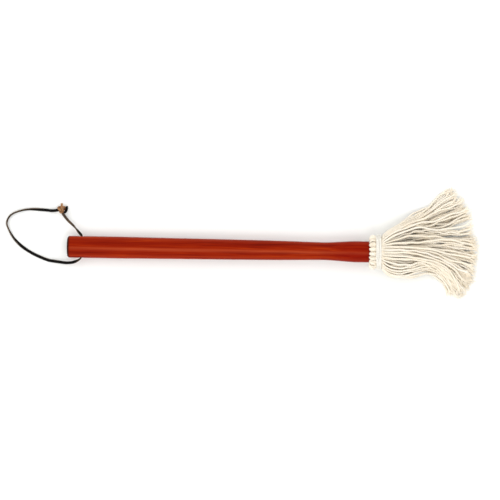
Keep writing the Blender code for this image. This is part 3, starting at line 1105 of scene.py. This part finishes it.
def wood_material():
    """Red-brown stain over fine lengthwise grain, with a painted highlight along one line on the
    upper side.
    """
    material, tree, shader = new_material(
        "stained_wood_looks", WOOD_COLOR, WOOD_ROUGHNESS, WOOD_SHINE
    )
    pores = add_noise(tree, *PORES)
    streaks = add_noise(tree, *STREAKS)
    bands = add_noise(tree, *BANDS)
    coordinates = add_node(tree, "ShaderNodeTexCoord")
    place = add_node(tree, "ShaderNodeSeparateXYZ", {"Vector": coordinates.outputs["Object"]})
    color = add_ramp(tree, add_mix(tree, 0.5, pores, streaks), WOOD_STOPS)
    color = add_layer(tree, color, bands, DARK_BANDS)
    color = add_layer(tree, color, bands, LIGHT_BANDS)
    # painted highlight: a paler line on the upper side, where the key lamp's reflection falls
    color = add_mix(tree, painted_highlight_share(tree, place, streaks), color, (*PAINTED_HIGHLIGHT_WOOD, 1.0))
    color = add_layer(tree, color, place.outputs["X"], DARK_FLARE)
    # darker end grain at the butt, with painted shade on its rounded edge
    color = add_layer(tree, color, place.outputs["X"], END_GRAIN_AND_PAINTED_SHADE)
    tree.links.new(color, shader.inputs["Base Color"])
    tree.links.new(add_range(tree, pores, *PORE_ROUGHNESS), shader.inputs["Roughness"])
    add_bump(tree, shader, pores, *WOOD_BUMP)
    return material


# The low, high and deep tones of each cotton
YARN_TONES = ((0.950, 0.875, 0.735), (0.985, 0.945, 0.865), (0.925, 0.805, 0.625))
TWINE_TONES = ((0.87, 0.845, 0.77), (0.93, 0.915, 0.86), (0.79, 0.745, 0.65))
COTTON_ROUGHNESS = 0.92
COTTON_SHINE = 0.1
COTTON_SHEEN = 0.15
SHEEN_ROUGHNESS = 0.6
COTTON_BUMP = (0.8, 0.0004)
FIBRES = ((3200.0, 3200.0, 3200.0), 4.0, 0.7)
FIBRE_RANGE = (0.35, 0.65, 0.0, 0.35)
COTTON_PATCHES = ((55.0, 55.0, 55.0), 2.0)
PATCH_RANGE = (0.35, 0.7, 0.0, 0.45)


def cotton_material(name, low, high, deep):
    """Soft undyed cotton: each strand its own tone, fine fibres, and a faint sheen."""
    material, tree, shader = new_material(name, high, COTTON_ROUGHNESS, COTTON_SHINE)
    tone = add_node(tree, "ShaderNodeAttribute", attribute_name="tone")
    fibres = add_noise(tree, *FIBRES)
    patches = add_noise(tree, *COTTON_PATCHES)
    color = add_mix(tree, tone.outputs["Fac"], (*low, 1.0), (*high, 1.0))
    color = add_layer(tree, color, patches, (PATCH_RANGE, deep))
    color = add_layer(tree, color, fibres, (FIBRE_RANGE, deep))
    tree.links.new(color, shader.inputs["Base Color"])
    shader.inputs["Sheen Weight"].default_value = COTTON_SHEEN
    shader.inputs["Sheen Roughness"].default_value = SHEEN_ROUGHNESS
    add_bump(tree, shader, fibres, *COTTON_BUMP)
    return material


GRAIN_COLOR = (0.004, 0.003, 0.003)
GRAIN_ROUGHNESS = 0.5
GRAIN_SHINE = 0.05
GRAIN_BUMP = (0.5, 0.0002)
CREASES = ((900.0, 900.0, 900.0), 4.0, 0.6)
CREASE_ROUGHNESS = (0.3, 0.7, 0.42, 0.66)
WEAR = ((160.0, 160.0, 160.0), 3.0)
WEAR_STOPS = (
    (0.45, (0.0025, 0.0020, 0.0020)),
    (0.65, (0.0050, 0.0038, 0.0032)),
    (0.80, (0.0200, 0.0130, 0.0090)),
)


def grain_leather_material():
    """The lace's dark grain side: waxed, finely creased."""
    material, tree, shader = new_material(
        "leather_grain_looks", GRAIN_COLOR, GRAIN_ROUGHNESS, GRAIN_SHINE
    )
    creases = add_noise(tree, *CREASES)
    color = add_ramp(tree, add_noise(tree, *WEAR), WEAR_STOPS)
    tree.links.new(color, shader.inputs["Base Color"])
    tree.links.new(add_range(tree, creases, *CREASE_ROUGHNESS), shader.inputs["Roughness"])
    add_bump(tree, shader, creases, *GRAIN_BUMP)
    return material


# Three tones of the flesh side, on the lace and on its knot, and their places on the noise
SUEDE_TONES = ((0.030, 0.020, 0.013), (0.070, 0.046, 0.031), (0.140, 0.094, 0.060))
KNOT_TONES = ((0.110, 0.048, 0.018), (0.260, 0.125, 0.055), (0.470, 0.270, 0.135))
TONE_STOPS = (0.36, 0.50, 0.64)
SUEDE_ROUGHNESS = 0.95
SUEDE_SHINE = 0.1
SUEDE_BUMP = (0.7, 0.0003)
NAP = ((1800.0, 1800.0, 1800.0), 4.0, 0.7)
SUEDE_PATCHES = ((120.0, 120.0, 120.0), 2.0)


def suede_material(name, tones):
    """The lace's flesh side and cut edges: matte brown with a short nap, in three tones."""
    material, tree, shader = new_material(name, tones[1], SUEDE_ROUGHNESS, SUEDE_SHINE)
    nap = add_noise(tree, *NAP)
    patches = add_noise(tree, *SUEDE_PATCHES)
    color = add_ramp(tree, add_mix(tree, 0.5, nap, patches), tuple(zip(TONE_STOPS, tones)))
    tree.links.new(color, shader.inputs["Base Color"])
    add_bump(tree, shader, nap, *SUEDE_BUMP)
    return material


FLOOR_COLOR = (0.88, 0.88, 0.88)
FLOOR_ROUGHNESS = 0.85
FLOOR_SHINE = 0.1
MOTTLE = ((3.0, 3.0, 3.0), 2.0)
FLOOR_STOPS = ((0.3, (0.87, 0.88, 0.87)), (0.7, (0.89, 0.90, 0.89)))


def floor_material():
    """A matte off-white surface, very slightly mottled."""
    material, tree, shader = new_material("pale_floor", FLOOR_COLOR, FLOOR_ROUGHNESS, FLOOR_SHINE)
    color = add_ramp(tree, add_noise(tree, *MOTTLE), FLOOR_STOPS)
    tree.links.new(color, shader.inputs["Base Color"])
    return material


# ---------------- stage

VIEW_WIDTH = 0.525
VIEW_CENTRE = (0.1919, 0.0000)
VIEW_HEIGHT = 0.012
VIEW_DISTANCE = 4.0
VIEW_ELEVATION = 88.0
VIEW_ROLL = 1.05
SENSOR = 36.0

# The floor's half width, the sky, and each lamp's name, place, size and power in watts
FLOOR_HALF = 3.0
SKY_COLOR = (1.0, 0.995, 0.985, 1.0)
SKY_STRENGTH = 1.22
LAMPS = (
    ("key", (0.10, -0.80, 1.70), 0.6, 6.0),
    ("left_fill", (-1.2, 0.2, 1.2), 1.0, 2.5),
)


def build_camera():
    """A camera almost straight above, turned a little so that the handle falls to the right."""
    camera_data = bpy.data.cameras.new("camera")
    camera = bpy.data.objects.new("camera", camera_data)
    bpy.context.scene.collection.objects.link(camera)
    camera_data.sensor_width = SENSOR
    camera_data.lens = SENSOR * VIEW_DISTANCE / VIEW_WIDTH
    target = Vector((*floor_place(*VIEW_CENTRE), VIEW_HEIGHT))
    tilt = math.radians(90.0 - VIEW_ELEVATION)
    turn = Matrix.Rotation(math.radians(VIEW_ROLL), 4, "Z")
    camera.matrix_world = (
        Matrix.Translation(target)
        @ turn
        @ Matrix.Rotation(tilt, 4, "X")
        @ Matrix.Translation((0.0, 0.0, VIEW_DISTANCE))
    )
    bpy.context.scene.camera = camera


def build_stage():
    """A pale floor under an even sky, with two soft lamps."""
    corners = [(-1, -1), (1, -1), (1, 1), (-1, 1)]
    vertices = [(FLOOR_HALF * x, FLOOR_HALF * y, 0.0) for x, y in corners]
    floor = mesh_object("floor", vertices, [(0, 1, 2, 3)], floor_material())
    world = bpy.data.worlds.new("studio")
    bpy.context.scene.world = world
    world.use_nodes = True
    background = world.node_tree.nodes["Background"]
    background.inputs["Color"].default_value = SKY_COLOR
    background.inputs["Strength"].default_value = SKY_STRENGTH
    for lamp in LAMPS:
        add_lamp(*lamp)
    bpy.context.scene.view_settings.view_transform = "Standard"


def add_lamp(name, place, size, power):
    """A square lamp that faces the middle of the floor."""
    lamp_data = bpy.data.lights.new(name, "AREA")
    lamp_data.shape = "SQUARE"
    lamp_data.size = size
    lamp_data.energy = power
    lamp = bpy.data.objects.new(name, lamp_data)
    lamp.location = place
    lamp.rotation_euler = (Vector((0, 0, 0)) - Vector(place)).to_track_quat("-Z", "Y").to_euler()
    bpy.context.scene.collection.objects.link(lamp)


def main():
    remove_default_objects()
    build_camera()
    build_thong()
    build_handle(wood_material())
    build_twine(cotton_material("cotton_twine_looks", *TWINE_TONES))
    build_locks(cotton_material("cotton_yarn_looks", *YARN_TONES))
    build_stage()


main()
